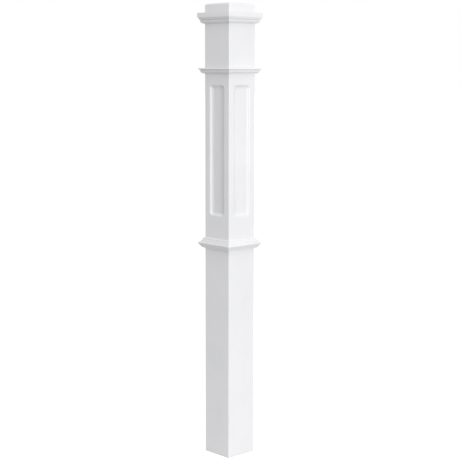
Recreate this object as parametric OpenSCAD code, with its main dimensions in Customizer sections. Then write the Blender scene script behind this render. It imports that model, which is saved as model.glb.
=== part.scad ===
// Box newel post: four mitred boards round an open hollow, a seated cap block,
// and three mitred bands of moulding planted on the faces.
// Millimetres. Origin at the middle of the foot, +Z up, front face towards -Y.

/* [Shaft] */
// width of each face of the square shaft
post_w = 110; // [80:1:180]
// height of the finished post, foot to top of cap block
post_h = 1425; // [900:1:1800]
// thickness of the boards
board_t = 19; // [12:0.5:30]
// small rounding on the four long arrises
arris_r = 1.5; // [0.5:0.1:4]

/* [Cap block] */
// full depth of the cap block, from its seat on the boards
cap_h = 42; // [30:1:60]
// rounding of the cap block's top edges
cap_r = 7; // [1:0.5:15]

/* [Recessed panel] */
// plain margin between the panel and the edge of the face
stile_w = 20; // [12:0.5:40]
// length of the recess, outer edge to outer edge
panel_len = 410; // [150:1:460]
// from the top of the post down to the middle of the recess
panel_drop = 452; // [400:1:500]
// depth of the sunk field
panel_d = 7; // [3:0.1:8.5]
// square drop from the foot of the ogee to the sunk field
panel_sink = 1; // [0.5:0.1:2]
// width of the ogee round the sunk field
ogee_w = 11; // [8:0.5:18]
// rounding of the sunk field's own corners
field_r = 1.5; // [0.5:0.1:10]

/* [Crown] */
// from the top of the post down to the crown's top
crown_drop = 28; // [15:1:29]
// height of the crown
crown_h = 33; // [26:0.5:60]
// how far the crown stands out from the face
crown_out = 17; // [14:0.5:30]
// height of the plain vertical band at the crown's top
crown_fascia = 15; // [8:0.5:20]
// set-back of the quarter round under that band
fascia_step = 3; // [0.5:0.1:4]
// radius of the quarter round under that band
crown_round_r = 8; // [5:0.5:12]

/* [Upper collar] */
// from the top of the post down to the upper collar's underside
upper_drop = 214; // [150:1:240]
// how far the upper collar stands out from the face
upper_out = 14.7; // [12:0.1:30]
// radius of the bead along its top
upper_bead_r = 3; // [2:0.25:6]

/* [Lower collar] */
// from the top of the post down to the lower collar's underside
lower_drop = 760.5; // [700:0.5:860]
// how far its rounded nose stands out from the face
lower_out = 16.5; // [16:0.1:30]
// radius of the rounded nose
nose_r = 5; // [3:0.5:6]
// height of the nose's middle above the collar's underside
nose_y = 15.3; // [12:0.1:24]
// stand-out of the foot of the slope under the nose
slope_foot_x = 7; // [2:0.5:8]
// set-back of the shoulder behind the nose's middle
shoulder_back = 1.5; // [0.5:0.1:3]
// upright below each of the two quarter rounds above the nose
neck_h = 2; // [1:0.1:6]
// radius of the quarter round on the nose's shoulder
shoulder_r = 4.5; // [3:0.1:5]
// radius of the quarter round along the collar's top
top_round_r = 5; // [2:0.1:5]

/* [Moulding cutter] */
// stand-out of the foot of the flat round under the crown and the upper collar
ovolo_foot_x = 4.5; // [2:0.1:7]
// stand-out of that round at its widest
ovolo_out = 10.8; // [10:0.1:12]
// height of that round
ovolo_h = 8; // [6:0.1:11]
// radius of that round
ovolo_r = 8; // [6:0.5:40]
// height of the square fillets beside the curves
fillet_h = 1.2; // [0.6:0.1:2]
// height of the quirk, the narrow groove above that round
quirk_h = 0.8; // [0.5:0.1:2]
// stand-out of the bottom of the quirk
quirk_x = 9; // [3:0.1:9]
// easing of the sharp moulding edges
ease_r = 0.8; // [0.3:0.1:2]

/* [Hidden] */
$fn = 72;
half = post_w / 2;
board_top = post_h - cap_h;
over = 1; // how far a cutter runs past the surface it cuts
big = 2 * post_w;
recess_w = post_w - 2 * stile_w;
recess_r = field_r + ogee_w;
// the ogee is two equal arcs that meet halfway down its slope
ogee_foot = [field_r, -panel_d + panel_sink];
ogee_edge = [recess_r, 0];
ogee_mid = (ogee_foot + ogee_edge) / 2;
ogee_r = (pow(ogee_w / 2, 2) + pow(ogee_mid[1], 2)) / (-2 * ogee_mid[1]);
// heights of the mouldings' undersides and of the recess, above the foot
crown_z = post_h - crown_drop - crown_h;
upper_z = post_h - upper_drop;
lower_z = post_h - lower_drop;
panel_mid = post_h - panel_drop;
// the flat round that the crown and the upper collar share, and the quirk above it
ovolo_foot = [ovolo_foot_x, fillet_h];
ovolo_edge = [ovolo_out, fillet_h + ovolo_h];
quirk_y = ovolo_edge[1] + fillet_h;
ovolo_top = quirk_y + quirk_h;
upper_h = ovolo_top + 2 * upper_bead_r;
// the lower collar's curves, stacked above its nose
nose_x = lower_out - nose_r;
shoulder_x = nose_x - shoulder_back - shoulder_r;
shoulder_y = nose_y + nose_r + neck_h;
top_round_x = shoulder_x - top_round_r;
top_round_y = shoulder_y + shoulder_r + neck_h;
lower_h = top_round_y + top_round_r;

// ---------- plan shapes ----------

// the shaft's outline with its eased arrises
module shaft_outline() {
    inner = half - arris_r;
    square([post_w, 2 * inner], center = true);
    square([2 * inner, post_w], center = true);
    for (sx = [-1, 1], sy = [-1, 1])
        translate([sx * inner, sy * inner]) circle(r = arris_r);
}

// the quarter of the plan that belongs to the front, cut on the mitre lines
module mitre_quarter() {
    polygon([[0, 0], [-big, -big], [big, -big]]);
}

// ---------- recessed panel ----------

// section of the recess edge: x runs out from the field's corner centre, y up from the face
module recess_section() {
    difference() {
        polygon([[0, over], [0, -panel_d], [field_r, -panel_d], ogee_foot,
                 ogee_mid, ogee_edge, [recess_r, over]]);
        // the wood swells out near the face
        intersection() {
            translate([recess_r, -ogee_r]) circle(r = ogee_r);
            polygon([ogee_mid, [ogee_mid[0], 0], ogee_edge]);
        }
    }
    // and is hollowed near the field
    intersection() {
        translate(ogee_foot + [0, ogee_r]) circle(r = ogee_r);
        polygon([ogee_foot, [ogee_mid[0], ogee_foot[1]], ogee_mid]);
    }
}

// the whole recess cutter, lying on the front face
module recess_cutter() {
    cw = recess_w - 2 * recess_r;
    cl = panel_len - 2 * recess_r;
    translate([0, -half, panel_mid]) rotate([90, 0, 0]) {
        translate([-cw / 2, -cl / 2, -panel_d]) cube([cw, cl, panel_d + over]);
        for (s = [0, 1]) rotate([0, 0, 180 * s]) {
            translate([cw / 2, 0, 0]) rotate([90, 0, 0])
                linear_extrude(height = cl, center = true) recess_section();
            rotate([0, 0, 90]) translate([cl / 2, 0, 0]) rotate([90, 0, 0])
                linear_extrude(height = cw, center = true) recess_section();
            translate([cw / 2, cl / 2, 0]) rotate_extrude(angle = 90) recess_section();
            translate([-cw / 2, cl / 2, 0]) rotate([0, 0, 90])
                rotate_extrude(angle = 90) recess_section();
        }
    }
}

// ---------- shaft boards and cap ----------

module board() {
    difference() {
        linear_extrude(height = board_top) intersection() {
            shaft_outline();
            polygon([[-half, -half], [half, -half],
                     [half - board_t, -half + board_t], [-half + board_t, -half + board_t]]);
        }
        recess_cutter();
    }
}

// waste taken off one top edge of the cap block
module cap_edge_waste() {
    translate([0, -half, post_h]) rotate([90, 0, -90])
        linear_extrude(height = big, center = true) difference() {
            translate([-cap_r, -cap_r]) square([cap_r + over, cap_r + over]);
            translate([-cap_r, -cap_r]) circle(r = cap_r);
        }
}

module cap() {
    difference() {
        translate([0, 0, board_top]) linear_extrude(height = cap_h) shaft_outline();
        for (k = [0:3]) rotate([0, 0, 90 * k]) cap_edge_waste();
    }
}

// ---------- moulding sections: x out from the face, y up from the underside ----------

// a square edge at (x, y) rounded off, as waste to be taken away
module ease_top(x, y) {
    difference() {
        translate([x - ease_r, y - ease_r]) square([ease_r + over, ease_r + over]);
        translate([x - ease_r, y - ease_r]) circle(r = ease_r);
    }
}

// where a line from point p touches the right-hand side of a circle
function touch(p, centre, r) =
    let (v = centre - p, a = atan2(v[1], v[0]) - asin(r / norm(v)))
    p + sqrt(v * v - r * r) * [cos(a), sin(a)];

// centre of a circle through two points, on the left of the way from a to b
function arc_centre(a, b, r) =
    let (chord = b - a, len = norm(chord))
    (a + b) / 2 + sqrt(r * r - len * len / 4) * [-chord[1], chord[0]] / len;

// the flat round with its fillets and quirk, which the crown and the upper collar end in
module ovolo() {
    square([ovolo_foot_x, fillet_h]);
    intersection() {
        translate(arc_centre(ovolo_foot, ovolo_edge, ovolo_r)) circle(r = ovolo_r);
        translate([0, fillet_h]) square([ovolo_out, ovolo_h]);
    }
    translate([0, ovolo_edge[1]]) square([ovolo_out, fillet_h]);
    translate([0, quirk_y]) square([quirk_x, quirk_h]);
}

module crown_section() {
    fascia_y = crown_h - crown_fascia;
    round_x = crown_out - fascia_step - crown_round_r;
    round_y = fascia_y - fillet_h / 2;
    difference() {
        union() {
            translate([0, fascia_y]) square([crown_out, crown_fascia]);
            translate([0, round_y]) square([round_x + crown_round_r, fillet_h]);
            translate([0, ovolo_top]) square([round_x, fascia_y - ovolo_top]);
            intersection() {
                translate([round_x, round_y]) circle(r = crown_round_r);
                translate([0, ovolo_top]) square([crown_out, round_y - ovolo_top]);
            }
            ovolo();
        }
        ease_top(crown_out, crown_h);
    }
}

module upper_collar_section() {
    bead_x = upper_out - upper_bead_r;
    translate([0, ovolo_top]) square([bead_x, 2 * upper_bead_r]);
    translate([bead_x, ovolo_top + upper_bead_r]) circle(r = upper_bead_r);
    ovolo();
}

module lower_collar_section() {
    slope_foot = [slope_foot_x, fillet_h];
    intersection() {
        square([lower_out + over, lower_h + over]);
        union() {
            square([slope_foot_x, fillet_h]);
            polygon([[0, fillet_h], slope_foot, touch(slope_foot, [nose_x, nose_y], nose_r),
                     [nose_x, nose_y], [0, nose_y]]);
            translate([0, nose_y]) square([nose_x, nose_r]);
            translate([nose_x, nose_y]) circle(r = nose_r);
            translate([0, nose_y]) square([shoulder_x + shoulder_r, shoulder_y - nose_y]);
            translate([shoulder_x, shoulder_y]) circle(r = shoulder_r);
            translate([0, shoulder_y]) square([shoulder_x, top_round_y - shoulder_y]);
            translate([top_round_x, top_round_y]) circle(r = top_round_r);
            translate([0, top_round_y]) square([top_round_x, top_round_r]);
        }
    }
}

// a length of moulding on the front face, cut to the mitre lines
module strip(z, h, out) {
    intersection() {
        translate([0, -half, z]) rotate([90, 0, -90])
            linear_extrude(height = 2 * (half + out + over), center = true) children();
        translate([0, 0, z - over]) linear_extrude(height = h + 2 * over) mitre_quarter();
    }
}

module crown() { strip(crown_z, crown_h, crown_out) crown_section(); }
module upper_collar() { strip(upper_z, upper_h, upper_out) upper_collar_section(); }
module lower_collar() { strip(lower_z, lower_h, lower_out) lower_collar_section(); }

// turn a front piece on to another face: 0 front, 1 right, 2 back, 3 left
module face(k) { rotate([0, 0, 90 * k]) children(); }

// ---------- the separate pieces ----------

module board_front() { color("white") face(0) board(); }
module board_right() { color("white") face(1) board(); }
module board_back() { color("white") face(2) board(); }
module board_left() { color("white") face(3) board(); }
module cap_block() { color("white") cap(); }
module crown_front() { color("ivory") face(0) crown(); }
module crown_right() { color("ivory") face(1) crown(); }
module crown_back() { color("ivory") face(2) crown(); }
module crown_left() { color("ivory") face(3) crown(); }
module upper_collar_front() { color("ivory") face(0) upper_collar(); }
module upper_collar_right() { color("ivory") face(1) upper_collar(); }
module upper_collar_back() { color("ivory") face(2) upper_collar(); }
module upper_collar_left() { color("ivory") face(3) upper_collar(); }
module lower_collar_front() { color("ivory") face(0) lower_collar(); }
module lower_collar_right() { color("ivory") face(1) lower_collar(); }
module lower_collar_back() { color("ivory") face(2) lower_collar(); }
module lower_collar_left() { color("ivory") face(3) lower_collar(); }

board_front();
board_right();
board_back();
board_left();
cap_block();
crown_front();
crown_right();
crown_back();
crown_left();
upper_collar_front();
upper_collar_right();
upper_collar_back();
upper_collar_left();
lower_collar_front();
lower_collar_right();
lower_collar_back();
lower_collar_left();
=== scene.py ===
# Box newel post, painted white: four mitred boards, a block top and three planted mouldings.
import math

import bmesh
import bpy
from mathutils import Euler, Matrix, Vector


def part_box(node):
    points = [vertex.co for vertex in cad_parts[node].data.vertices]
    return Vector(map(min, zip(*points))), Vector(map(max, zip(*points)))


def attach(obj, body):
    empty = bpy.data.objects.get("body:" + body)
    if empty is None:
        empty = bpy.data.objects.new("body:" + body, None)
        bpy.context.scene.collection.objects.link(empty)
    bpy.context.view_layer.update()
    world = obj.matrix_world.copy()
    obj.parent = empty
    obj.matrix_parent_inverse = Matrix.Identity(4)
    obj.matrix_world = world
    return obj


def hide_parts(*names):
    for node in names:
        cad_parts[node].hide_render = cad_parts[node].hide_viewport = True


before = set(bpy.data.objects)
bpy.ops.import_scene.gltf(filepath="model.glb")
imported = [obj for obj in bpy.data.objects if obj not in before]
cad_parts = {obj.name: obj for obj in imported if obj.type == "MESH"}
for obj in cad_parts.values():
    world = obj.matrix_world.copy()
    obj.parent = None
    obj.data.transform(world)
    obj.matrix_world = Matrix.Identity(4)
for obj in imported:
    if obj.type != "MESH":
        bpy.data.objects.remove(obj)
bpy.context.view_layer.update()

MM = 0.001                               # a millimetre, in metres
FACES = ["front", "right", "back", "left"]   # a quarter turn from each to the next

# ---------------------------------------------------------------- sizes from the frame
board_lo, board_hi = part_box("board_front")
cap_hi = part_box("cap_block")[1]
crown_lo, crown_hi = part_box("crown_front")
upper_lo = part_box("upper_collar_front")[0]
lower_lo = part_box("lower_collar_front")[0]

half = -board_lo[1]                      # half the width of the shaft
board_t = board_hi[1] - board_lo[1]      # thickness of the boards
board_top = board_hi[2]                  # where the cap block is seated
post_top = cap_hi[2]

arris_r = 1.5 * MM                       # easing of the shaft's long arrises
mitre_gap = 0.05 * MM                    # each cut face stands back this much
paint_r = 0.35 * MM                      # how round paint leaves a crisp edge
seam_depth = 0.12 * MM                   # how far the painted joint line lies under each arris
seam_ease = 0.04 * MM                    # how far the arris falls back beside that line
seam_angle = math.radians(-47)           # where the line lies, just short of the mitre

cap_r = 7 * MM                           # rounding of the block's top edges
cap_seat_ease = 0.3 * MM                 # the block's lower edge, eased where it meets the boards
cap_corner_growth = 0.35                 # how fast its corners round off as the top turns in

# recessed panel
stile_w = 20 * MM                        # flat face on either side of it
panel_len = 410 * MM
panel_mid = post_top - 452 * MM          # height of its middle
panel_d = 7 * MM                         # depth of the sunk field
panel_sink = 1 * MM                      # square drop from the ogee to the field
ogee_w = 11 * MM                         # width of the ogee all round it
field_r = 1.5 * MM                       # corners of the sunk field

# moulding sections: how far each stands out, and the curves they share
crown_out = -crown_lo[1] - half
crown_h = crown_hi[2] - crown_lo[2]
crown_fascia = 15 * MM                   # the plain band at the top of the crown
fascia_step = 3 * MM                     # how far the round under it is set back
crown_round_r = 8 * MM
upper_out = -upper_lo[1] - half
upper_bead_r = 3 * MM
lower_out = -lower_lo[1] - half
nose_r = 5 * MM
nose_y = 15.3 * MM                       # height of the nose's centre
slope_foot_x = 7 * MM                    # where the slope up to the nose starts
shoulder_back = 1.5 * MM                 # from the nose's centre back to the first quarter round
neck_h = 2 * MM                          # the upright below each quarter round
shoulder_r = 4.5 * MM
top_round_r = 5 * MM
ovolo_foot_x = 4.5 * MM                  # the flat round starts here and ends at ovolo_out
ovolo_out = 10.8 * MM
ovolo_h = 8 * MM
ovolo_r = 8 * MM
fillet_h = 1.2 * MM
quirk_h = 0.8 * MM                       # the narrow groove over the flat round
quirk_x = 9 * MM                         # how far out from the face the groove's bottom is
ease_r = 0.8 * MM                        # easing of the crown's top edge

# which corners count as sharp, in degrees
painted_corner = 32                      # an outline corner that paint rounds off
crisp_edge = 38                          # a mesh edge that is shaded crisp

rounding_share = 0.45                    # most of a neighbouring edge that a rounding takes up
weld_dist = 1e-7                         # points closer than this are one point
corner_steps = 10                        # steps round each corner of the recess

# the four corners of a square: side, side, and where the quarter turn round it starts
CORNERS = ((1, 1, 0), (-1, 1, 90), (-1, -1, 180), (1, -1, 270))


# ---------------------------------------------------------------- outlines
def arc(cx, cy, r, start, end, steps):
    """Points on an arc, angles in degrees, both ends included."""
    out = []
    for i in range(steps + 1):
        a = math.radians(start + (end - start) * i / steps)
        out.append((cx + r * math.cos(a), cy + r * math.sin(a)))
    return out


def turn_at(before, here, after):
    """How sharply the outline turns at a point, in degrees."""
    a = Vector(here) - Vector(before)
    b = Vector(after) - Vector(here)
    return abs(math.degrees(a.angle_signed(b))) if a.length > 1e-9 and b.length > 1e-9 else 0.0


def soften(points, r, steps=4):
    """Rounds each sharp corner of an open outline as a coat of paint does."""
    out = [points[0]]
    for before, here, after in zip(points, points[1:], points[2:]):
        if turn_at(before, here, after) < painted_corner:
            out.append(here)
            continue
        p, q, s = Vector(before), Vector(here), Vector(after)
        reach = min(r, (p - q).length * rounding_share, (s - q).length * rounding_share)
        start = q + (p - q).normalized() * reach
        end = q + (s - q).normalized() * reach
        for i in range(steps + 1):
            t = i / steps
            out.append(tuple(start * (1 - t) ** 2 + q * 2 * t * (1 - t) + end * t ** 2))
    out.append(points[-1])
    return out


def arc_through(a, b, r, steps):
    """An arc from a to b about a centre on the left of that way, both ends included."""
    start, end = Vector(a), Vector(b)
    chord = end - start
    lift = math.sqrt(r * r - chord.length_squared / 4)
    centre = (start + end) / 2 + lift * Vector((-chord.y, chord.x)).normalized()
    first = math.degrees(math.atan2(start.y - centre.y, start.x - centre.x))
    last = math.degrees(math.atan2(end.y - centre.y, end.x - centre.x))
    return arc(centre.x, centre.y, r, first, last, steps)


# Moulding sections: x out from the face, y up from the underside.
quirk_y = ovolo_h + 2 * fillet_h
ovolo_top = quirk_y + quirk_h


def flat_round():
    """The flat round with its fillets and quirk, which the crown and the upper collar end in."""
    return [(0, 0), (ovolo_foot_x, 0),
            *arc_through((ovolo_foot_x, fillet_h), (ovolo_out, fillet_h + ovolo_h), ovolo_r, steps=16),
            (ovolo_out, quirk_y), (quirk_x, quirk_y), (quirk_x, ovolo_top)]


def crown_outline():
    """The flat round, a quarter round set back under a plain band, and the eased top edge."""
    fascia_y = crown_h - crown_fascia
    round_x = crown_out - fascia_step - crown_round_r
    round_y = fascia_y - fillet_h / 2
    low = math.degrees(math.asin((round_y - ovolo_top) / crown_round_r))
    return [*flat_round(), *arc(round_x, round_y, crown_round_r, -low, 0, steps=16),
            (crown_out - fascia_step, fascia_y), (crown_out, fascia_y),
            *arc(crown_out - ease_r, crown_h - ease_r, ease_r, 0, 90, steps=6), (0, crown_h)]


def upper_collar_outline():
    """The flat round with a bead over it."""
    bead_x = upper_out - upper_bead_r
    bead = arc(bead_x, ovolo_top + upper_bead_r, upper_bead_r, -90, 90, steps=20)
    return [*flat_round(), *bead, (0, ovolo_top + 2 * upper_bead_r)]


def lower_collar_outline():
    """A thin foot, a slope out to the nose, and two quarter rounds stepping back to the face."""
    nose_x = lower_out - nose_r
    shoulder_x = nose_x - shoulder_back - shoulder_r
    shoulder_y = nose_y + nose_r + neck_h
    top_y = shoulder_y + shoulder_r + neck_h
    # the slope under the nose runs straight into it
    reach = Vector((nose_x - slope_foot_x, nose_y - fillet_h))
    slope = math.atan2(reach.y, reach.x) - math.asin(nose_r / reach.length)
    return [(0, 0), (slope_foot_x, 0), (slope_foot_x, fillet_h),
            *arc(nose_x, nose_y, nose_r, math.degrees(slope) - 90, 90, steps=28),
            (shoulder_x + shoulder_r, nose_y + nose_r),
            *arc(shoulder_x, shoulder_y, shoulder_r, 0, 90, steps=16),
            *arc(shoulder_x - top_round_r, top_y, top_round_r, 0, 90, steps=14),
            (0, top_y + top_round_r)]


# ---------------------------------------------------------------- mesh helpers
def finish_mesh(name, bm, slot_name, *finishes):
    """Turns the mesh out, sets crisp and smooth edges, and makes the object."""
    bmesh.ops.remove_doubles(bm, verts=bm.verts, dist=weld_dist)
    bmesh.ops.recalc_face_normals(bm, faces=bm.faces)
    for f in bm.faces:
        f.smooth = True
    for e in bm.edges:
        if len(e.link_faces) != 2 or e.calc_face_angle(0) > math.radians(crisp_edge):
            e.smooth = False
    mesh = bpy.data.meshes.new(name)
    bm.to_mesh(mesh)
    bm.free()
    for material in finishes:
        mesh.materials.append(material)
    piece = bpy.data.objects.new(name, mesh)
    bpy.context.scene.collection.objects.link(piece)
    # flat faces keep their own normal, and the small roundings carry the whole turn
    even = piece.modifiers.new("flat_faces_stay_flat", "WEIGHTED_NORMAL")
    even.keep_sharp = True
    even.weight = 100
    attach(piece, "root")
    return piece


def turned(bm, quarter):
    """Carries a front piece round to its own face of the post."""
    bmesh.ops.rotate(bm, verts=bm.verts, cent=(0, 0, 0),
                     matrix=Matrix.Rotation(math.radians(90 * quarter), 3, "Z"))


def loop_between(bm, ring_a, ring_b):
    """A band of quads between two closed rings of the same length."""
    n = len(ring_a)
    for i in range(n):
        j = (i + 1) % n
        bm.faces.new((ring_a[i], ring_a[j], ring_b[j], ring_b[i]))


# ---------------------------------------------------------------- paint and wood
ridge_share = 0.6                        # height of the fine ridges beside the slow swells
nib_reach = 0.035                        # size of a nib, as a share of the space between nibs
nib_height = 1.5                         # height of a nib beside the brush marks
paint_relief = 0.12 * MM
wood_relief = 0.3 * MM


def group_sockets(group, inputs, outputs):
    """Gives a shader group its named inputs and outputs."""
    for name, kind, value in inputs:
        s = group.interface.new_socket(name=name, in_out="INPUT", socket_type=kind)
        if value is not None:
            s.default_value = value
    for name, kind in outputs:
        group.interface.new_socket(name=name, in_out="OUTPUT", socket_type=kind)


def brush_marks_group():
    """Fine ridges left by the brush, long along one direction, with slower swells between."""
    g = bpy.data.node_groups.new("brush_marks", "ShaderNodeTree")
    group_sockets(g, [("Place", "NodeSocketVector", None), ("Ridges", "NodeSocketVector", (300, 300, 6)),
                      ("Swells", "NodeSocketVector", (40, 40, 3))],
                  [("Height", "NodeSocketFloat"), ("Swell", "NodeSocketFloat")])
    n, link = g.nodes, g.links.new
    start, end = n.new("NodeGroupInput"), n.new("NodeGroupOutput")
    fine_place = n.new("ShaderNodeVectorMath")
    fine_place.operation = "MULTIPLY"
    slow_place = n.new("ShaderNodeVectorMath")
    slow_place.operation = "MULTIPLY"
    link(start.outputs["Place"], fine_place.inputs[0])
    link(start.outputs["Ridges"], fine_place.inputs[1])
    link(start.outputs["Place"], slow_place.inputs[0])
    link(start.outputs["Swells"], slow_place.inputs[1])
    ridges = n.new("ShaderNodeTexNoise")
    ridges.inputs["Detail"].default_value = 5
    ridges.inputs["Scale"].default_value = 1
    ridges.inputs["Roughness"].default_value = 0.6
    swells = n.new("ShaderNodeTexNoise")
    swells.inputs["Detail"].default_value = 2
    swells.inputs["Scale"].default_value = 1
    link(fine_place.outputs[0], ridges.inputs["Vector"])
    link(slow_place.outputs[0], swells.inputs["Vector"])
    both = n.new("ShaderNodeMath")
    both.operation = "MULTIPLY_ADD"
    both.inputs[1].default_value = ridge_share
    link(ridges.outputs["Fac"], both.inputs[0])
    link(swells.outputs["Fac"], both.inputs[2])
    link(both.outputs[0], end.inputs["Height"])
    link(swells.outputs["Fac"], end.inputs["Swell"])
    return g


def dust_nibs_group():
    """Tiny specks caught in the paint, far apart."""
    g = bpy.data.node_groups.new("dust_nibs", "ShaderNodeTree")
    group_sockets(g, [("Place", "NodeSocketVector", None), ("Spacing", "NodeSocketFloat", 60)],
                  [("Nib", "NodeSocketFloat")])
    n, link = g.nodes, g.links.new
    start, end = n.new("NodeGroupInput"), n.new("NodeGroupOutput")
    cells = n.new("ShaderNodeTexVoronoi")
    cells.inputs["Randomness"].default_value = 1
    link(start.outputs["Place"], cells.inputs["Vector"])
    link(start.outputs["Spacing"], cells.inputs["Scale"])
    speck = n.new("ShaderNodeMapRange")
    speck.inputs["From Min"].default_value = nib_reach
    speck.inputs["From Max"].default_value = 0.0
    link(cells.outputs["Distance"], speck.inputs["Value"])
    link(speck.outputs["Result"], end.inputs["Nib"])
    return g


brush_marks = brush_marks_group()
dust_nibs = dust_nibs_group()


def put_group(tree, group, values):
    """Places a shader group in a material and sets its inputs."""
    node = tree.nodes.new("ShaderNodeGroup")
    node.node_tree = group
    for key, value in values.items():
        node.inputs[key].default_value = value
    return node


def white_paint(name, ridges, swells, spacing):
    """Satin white paint laid off with a brush over primer."""
    m = bpy.data.materials.new(name)
    m.use_nodes = True
    n, link = m.node_tree.nodes, m.node_tree.links.new
    paint = n["Principled BSDF"]
    paint.inputs["Specular IOR Level"].default_value = 0.5
    place = n.new("ShaderNodeTexCoord").outputs["Object"]
    marks = put_group(m.node_tree, brush_marks, {"Ridges": ridges, "Swells": swells})
    nibs = put_group(m.node_tree, dust_nibs, {"Spacing": spacing})
    link(place, marks.inputs["Place"])
    link(place, nibs.inputs["Place"])
    cloud = n.new("ShaderNodeTexNoise")
    cloud.inputs["Scale"].default_value = 9
    cloud.inputs["Detail"].default_value = 3
    link(place, cloud.inputs["Vector"])
    tint = n.new("ShaderNodeValToRGB")
    tint.color_ramp.elements[0].position, tint.color_ramp.elements[1].position = 0.3, 0.7
    tint.color_ramp.elements[0].color = (0.764, 0.766, 0.781, 1)
    tint.color_ramp.elements[1].color = (0.796, 0.797, 0.810, 1)
    link(cloud.outputs["Fac"], tint.inputs["Fac"])
    thin = n.new("ShaderNodeMix")
    thin.data_type = "RGBA"
    thin.blend_type = "MULTIPLY"
    thin.inputs["B"].default_value = (0.974, 0.972, 0.972, 1)
    link(marks.outputs["Swell"], thin.inputs["Factor"])
    link(tint.outputs["Color"], thin.inputs["A"])
    link(thin.outputs["Result"], paint.inputs["Base Color"])
    rough = n.new("ShaderNodeMapRange")
    rough.inputs["From Min"].default_value, rough.inputs["From Max"].default_value = 0.3, 0.7
    rough.inputs["To Min"].default_value, rough.inputs["To Max"].default_value = 0.28, 0.4
    link(marks.outputs["Swell"], rough.inputs["Value"])
    link(rough.outputs["Result"], paint.inputs["Roughness"])
    height = n.new("ShaderNodeMath")
    height.operation = "MULTIPLY_ADD"
    height.inputs[1].default_value = nib_height
    link(nibs.outputs["Nib"], height.inputs[0])
    link(marks.outputs["Height"], height.inputs[2])
    bump = n.new("ShaderNodeBump")
    bump.inputs["Strength"].default_value = 0.35
    bump.inputs["Distance"].default_value = paint_relief
    link(height.outputs[0], bump.inputs["Height"])
    link(bump.outputs["Normal"], paint.inputs["Normal"])
    return m


def bare_poplar(name):
    """Planed wood left bare where no one sees it: inside the hollow, the foot and the glued faces."""
    m = bpy.data.materials.new(name)
    m.use_nodes = True
    n, link = m.node_tree.nodes, m.node_tree.links.new
    wood = n["Principled BSDF"]
    place = n.new("ShaderNodeTexCoord").outputs["Object"]
    stretch = n.new("ShaderNodeMapping")
    stretch.inputs["Scale"].default_value = (55, 55, 3.5)
    link(place, stretch.inputs["Vector"])
    rings = n.new("ShaderNodeTexWave")
    rings.wave_type = "RINGS"
    rings.rings_direction = "Z"
    rings.inputs["Scale"].default_value = 0.35
    rings.inputs["Distortion"].default_value = 5
    rings.inputs["Detail"].default_value = 4
    pores = n.new("ShaderNodeTexNoise")
    pores.inputs["Scale"].default_value = 9
    pores.inputs["Detail"].default_value = 6
    link(stretch.outputs["Vector"], rings.inputs["Vector"])
    link(stretch.outputs["Vector"], pores.inputs["Vector"])
    colour = n.new("ShaderNodeValToRGB")
    colour.color_ramp.elements[0].color = (0.50, 0.40, 0.24, 1)
    colour.color_ramp.elements[1].color = (0.68, 0.57, 0.38, 1)
    link(rings.outputs["Color"], colour.inputs["Fac"])
    fleck = n.new("ShaderNodeMix")
    fleck.data_type = "RGBA"
    fleck.blend_type = "MULTIPLY"
    fleck.inputs["B"].default_value = (0.85, 0.82, 0.74, 1)
    link(pores.outputs["Fac"], fleck.inputs["Factor"])
    link(colour.outputs["Color"], fleck.inputs["A"])
    link(fleck.outputs["Result"], wood.inputs["Base Color"])
    rough = n.new("ShaderNodeMapRange")
    rough.inputs["To Min"].default_value, rough.inputs["To Max"].default_value = 0.62, 0.78
    link(pores.outputs["Fac"], rough.inputs["Value"])
    link(rough.outputs["Result"], wood.inputs["Roughness"])
    bump = n.new("ShaderNodeBump")
    bump.inputs["Strength"].default_value = 0.4
    bump.inputs["Distance"].default_value = wood_relief
    link(pores.outputs["Fac"], bump.inputs["Height"])
    link(bump.outputs["Normal"], wood.inputs["Normal"])
    return m


# the brush ran up and down the shaft, and along each moulding
shaft_paint = white_paint("shaft_white_paint", ridges=(330, 330, 7), swells=(36, 36, 2.5), spacing=45)
moulding_paint = white_paint("moulding_white_paint", ridges=(8, 8, 420), swells=(4, 4, 60), spacing=55)
bare_wood = bare_poplar("bare_poplar")
PAINT, BARE = 0, 1


# ---------------------------------------------------------------- shaft boards
def panel_ring(bm, rho, depth):
    """One closed ring of the recess, rho out from the corner centres of the sunk field."""
    cw = half - stile_w - field_r - ogee_w
    cl = panel_len / 2 - field_r - ogee_w
    ring = []
    for sx, sz, start in CORNERS:
        for x, z in arc(sx * cw, sz * cl, rho, start, start + 90, corner_steps):
            ring.append(bm.verts.new((x, -half + depth, panel_mid + z)))
    return ring


def recess_steps():
    """(rho, depth) from the face down the ogee and over its square drop to the sunk field."""
    edge = field_r + ogee_w
    hw, hd = ogee_w / 2, (panel_d - panel_sink) / 2
    r = (hw * hw + hd * hd) / (2 * hd)
    sweep = math.degrees(math.asin(hw / r))
    swell = arc(edge, r, r, -90, -90 - sweep, steps=9)
    hollow = arc(field_r, panel_d - panel_sink - r, r, 90 - sweep, 90, steps=9)
    return [(edge + paint_r, 0), *swell, *hollow[1:-1],
            *soften([(field_r + paint_r, panel_d - panel_sink), (field_r, panel_d - panel_sink),
                     (field_r, panel_d), (field_r - 2 * paint_r, panel_d)], paint_r)[1:]]


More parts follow.
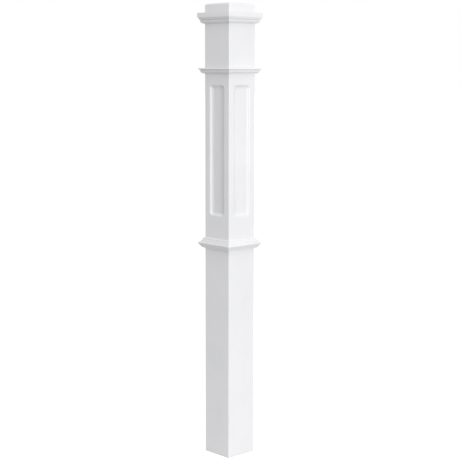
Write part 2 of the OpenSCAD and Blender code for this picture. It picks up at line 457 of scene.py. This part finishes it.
def shaft_board(face, quarter):
    """One mitred board from foot to cap block, with its recessed panel."""
    bm = bmesh.new()
    flat = half - arris_r
    # plan of the front board, from the right end of its flat face round to the left end
    right = arc(flat, -flat, arris_r, -90, -45, steps=5)
    seam_r = arris_r - seam_depth
    seam = (flat + seam_r * math.cos(seam_angle), -flat + seam_r * math.sin(seam_angle))
    right = right[:-1] + [(right[-1][0] - seam_ease, right[-1][1]), seam]
    inner = (half - board_t - mitre_gap, -half + board_t)
    plan = right + [inner]
    plan = plan + [(-x, y) for x, y in reversed(plan)]
    foot = [bm.verts.new((x, y, 0)) for x, y in plan]
    head = [bm.verts.new((x, y, board_top)) for x, y in plan]
    painted = len(right) - 2
    for i in range(len(plan) - 1):
        side = bm.faces.new((foot[i], foot[i + 1], head[i + 1], head[i]))
        hidden = painted <= i < len(plan) - 2 - painted
        side.material_index = BARE if hidden else PAINT
    bm.faces.new(foot).material_index = BARE
    bm.faces.new(list(reversed(head))).material_index = BARE
    # the flat face round the recess, then the recess itself
    rings = [panel_ring(bm, rho, depth) for rho, depth in recess_steps()]
    rim, count = rings[0], corner_steps + 1
    corners = [head[0], head[-1], foot[-1], foot[0]]
    for c, corner in enumerate(corners):
        first = c * count
        for i in range(first, first + corner_steps):
            bm.faces.new((corner, rim[i], rim[i + 1]))
        after = (c + 1) % 4
        bm.faces.new((corner, rim[first + corner_steps], rim[after * count], corners[after]))
    for a, b in zip(rings, rings[1:]):
        loop_between(bm, a, b)
    bm.faces.new(rings[-1])
    turned(bm, quarter)
    board = finish_mesh(f"shaft_board_{face}", bm, "shaft_paint", shaft_paint, bare_wood)
    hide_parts(f"board_{face}")


# ---------------------------------------------------------------- cap block
def square_ring(bm, size, r, z):
    """A level square ring with rounded corners, size out from the middle."""
    ring = []
    for sx, sy, start in CORNERS:
        for x, y in arc(sx * (size - r), sy * (size - r), r, start, start + 90, steps=6):
            ring.append(bm.verts.new((x, y, z)))
    return ring


def cap_block():
    """The square block above the crown, its top edges rounded over."""
    bm = bmesh.new()
    rows = [(half - cap_seat_ease, arris_r, board_top),
            (half, arris_r, board_top + cap_seat_ease),
            (half, arris_r, post_top - cap_r)]
    steps = 12                           # round the top edge
    for i in range(1, steps + 1):
        a = math.radians(90 * i / steps)
        inset = cap_r * (1 - math.cos(a))
        rows.append((half - inset, arris_r + inset * cap_corner_growth,
                     post_top - cap_r + cap_r * math.sin(a)))
    rings = [square_ring(bm, *row) for row in rows]
    for a, b in zip(rings, rings[1:]):
        loop_between(bm, a, b)
    bm.faces.new(rings[0]).material_index = BARE
    bm.faces.new(rings[-1])
    block = finish_mesh("block_top", bm, "shaft_paint", shaft_paint, bare_wood)
    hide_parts("cap_block")


# ---------------------------------------------------------------- planted mouldings
def moulding(name, node, outline, low_z, quarter):
    """One mitred length of moulding, its ends cut at 45 degrees in plan."""
    bm = bmesh.new()
    points = soften(outline, paint_r)
    left = [bm.verts.new((-(half + x) + mitre_gap, -(half + x), low_z + z)) for x, z in points]
    right = [bm.verts.new((half + x - mitre_gap, -(half + x), low_z + z)) for x, z in points]
    n = len(points)
    for i in range(n):
        j = (i + 1) % n
        side = bm.faces.new((left[i], right[i], right[j], left[j]))
        side.material_index = BARE if j == 0 else PAINT
    bm.faces.new(left).material_index = BARE
    bm.faces.new(list(reversed(right))).material_index = BARE
    turned(bm, quarter)
    length = finish_mesh(name, bm, "moulding_paint", moulding_paint, bare_wood)
    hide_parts(node)


for quarter, face in enumerate(FACES):
    shaft_board(face, quarter)
    moulding(f"crown_moulding_{face}", f"crown_{face}",
             crown_outline(), crown_lo[2], quarter)
    moulding(f"upper_collar_moulding_{face}", f"upper_collar_{face}",
             upper_collar_outline(), upper_lo[2], quarter)
    moulding(f"lower_collar_moulding_{face}", f"lower_collar_{face}",
             lower_collar_outline(), lower_lo[2], quarter)
cap_block()


# ---------------------------------------------------------------- floor, light and camera
floor_r = 60                             # metres, far past the edge of the view
light_aim = 0.75                         # height that the soft boxes point at
pool_height = 2 * MM                     # how far above the floor its thrown-up light starts


def bright_to_camera(tree, strength, soft, white):
    """Glows white to the camera, while the light that falls on the post stays soft."""
    n, link = tree.nodes, tree.links.new
    path = n.new("ShaderNodeLightPath")
    level = n.new("ShaderNodeMapRange")
    level.inputs["To Min"].default_value, level.inputs["To Max"].default_value = soft, white
    link(path.outputs["Is Camera Ray"], level.inputs["Value"])
    link(level.outputs["Result"], strength)


def pale_floor(bounce, white):
    """A wide round floor that reflects a little and looks plain white to the camera."""
    bm = bmesh.new()
    rim = [bm.verts.new((x, y, 0)) for x, y in arc(0, 0, floor_r, 0, 360, steps=64)[:-1]]
    bm.faces.new(rim)
    mesh = bpy.data.meshes.new("studio_floor")
    bm.to_mesh(mesh)
    bm.free()
    floor = bpy.data.objects.new("studio_floor", mesh)
    bpy.context.scene.collection.objects.link(floor)
    m = bpy.data.materials.new("white_studio_floor")
    m.use_nodes = True
    n, link = m.node_tree.nodes, m.node_tree.links.new
    out = n["Material Output"]
    n.remove(n["Principled BSDF"])
    matt = n.new("ShaderNodeBsdfDiffuse")
    matt.inputs["Color"].default_value = (bounce, bounce, bounce, 1)
    lit = n.new("ShaderNodeEmission")
    bright_to_camera(m.node_tree, lit.inputs["Strength"], soft=0.0, white=white)
    both = n.new("ShaderNodeAddShader")
    link(matt.outputs[0], both.inputs[0])
    link(lit.outputs[0], both.inputs[1])
    link(both.outputs[0], out.inputs["Surface"])
    mesh.materials.append(m)


def studio_world(soft):
    """Even light from all round, white to the camera."""
    world = bpy.data.worlds.new("soft_studio")
    bpy.context.scene.world = world
    world.use_nodes = True
    walls = world.node_tree.nodes["Background"]
    walls.inputs["Color"].default_value = (1, 1, 1, 1)
    bright_to_camera(world.node_tree, walls.inputs["Strength"], soft=soft, white=1.0)


def soft_box(name, azimuth, elevation, distance, size, power):
    """A large soft light aimed at the middle of the post."""
    a, e = math.radians(azimuth), math.radians(elevation)
    aim = Vector((0, 0, light_aim))
    level, rise = math.cos(e), math.sin(e)
    spot = aim + distance * Vector((math.sin(a) * level, -math.cos(a) * level, rise))
    data = bpy.data.lights.new(name, "AREA")
    data.shape, data.size, data.energy = "SQUARE", size, power
    lamp = bpy.data.objects.new(name, data)
    lamp.location = spot
    lamp.rotation_mode = "QUATERNION"
    lamp.rotation_quaternion = (aim - spot).to_track_quat("-Z", "Y")
    bpy.context.scene.collection.objects.link(lamp)


def floor_pool(width, power):
    """Light thrown up by the floor round the foot of the post."""
    data = bpy.data.lights.new("floor_pool", "AREA")
    data.shape, data.size, data.energy = "DISK", width, power
    pool = bpy.data.objects.new("floor_pool", data)
    pool.location = (0, 0, pool_height)
    pool.rotation_euler = (math.pi, 0, 0)
    pool.visible_camera = False
    bpy.context.scene.collection.objects.link(pool)


pale_floor(bounce=0.4, white=0.9)
studio_world(soft=0.815)
soft_box("key_softbox", azimuth=75, elevation=4, distance=6.0, size=1.9, power=173)
soft_box("overhead_softbox", azimuth=50, elevation=68, distance=6.0, size=3.5, power=62)
soft_box("back_softbox", azimuth=190, elevation=12, distance=6.0, size=1.9, power=60)
floor_pool(width=2.0, power=1.7)

# camera a little under four metres away, lower than the top of the post, looking slightly down
azimuth, distance, eye = math.radians(47.089), 3.79254, 1.21932
pitch, yaw, roll = math.radians(7.4926), math.radians(0.0153), math.radians(0.087)
sensor, focal_px, frame_px = 36, 1210.116, 460
lens = bpy.data.cameras.new("camera")
lens.sensor_width = sensor
lens.lens = focal_px / frame_px * sensor
camera = bpy.data.objects.new("camera", lens)
camera.rotation_mode = "QUATERNION"
look = Euler((math.pi / 2 - pitch, 0, azimuth - yaw)).to_matrix()
camera.rotation_quaternion = (look @ Matrix.Rotation(roll, 3, "Z")).to_quaternion()
camera.location = (distance * math.sin(azimuth), -distance * math.cos(azimuth), eye)
bpy.context.scene.collection.objects.link(camera)
bpy.context.scene.camera = camera
bpy.context.scene.view_settings.view_transform = "Standard"
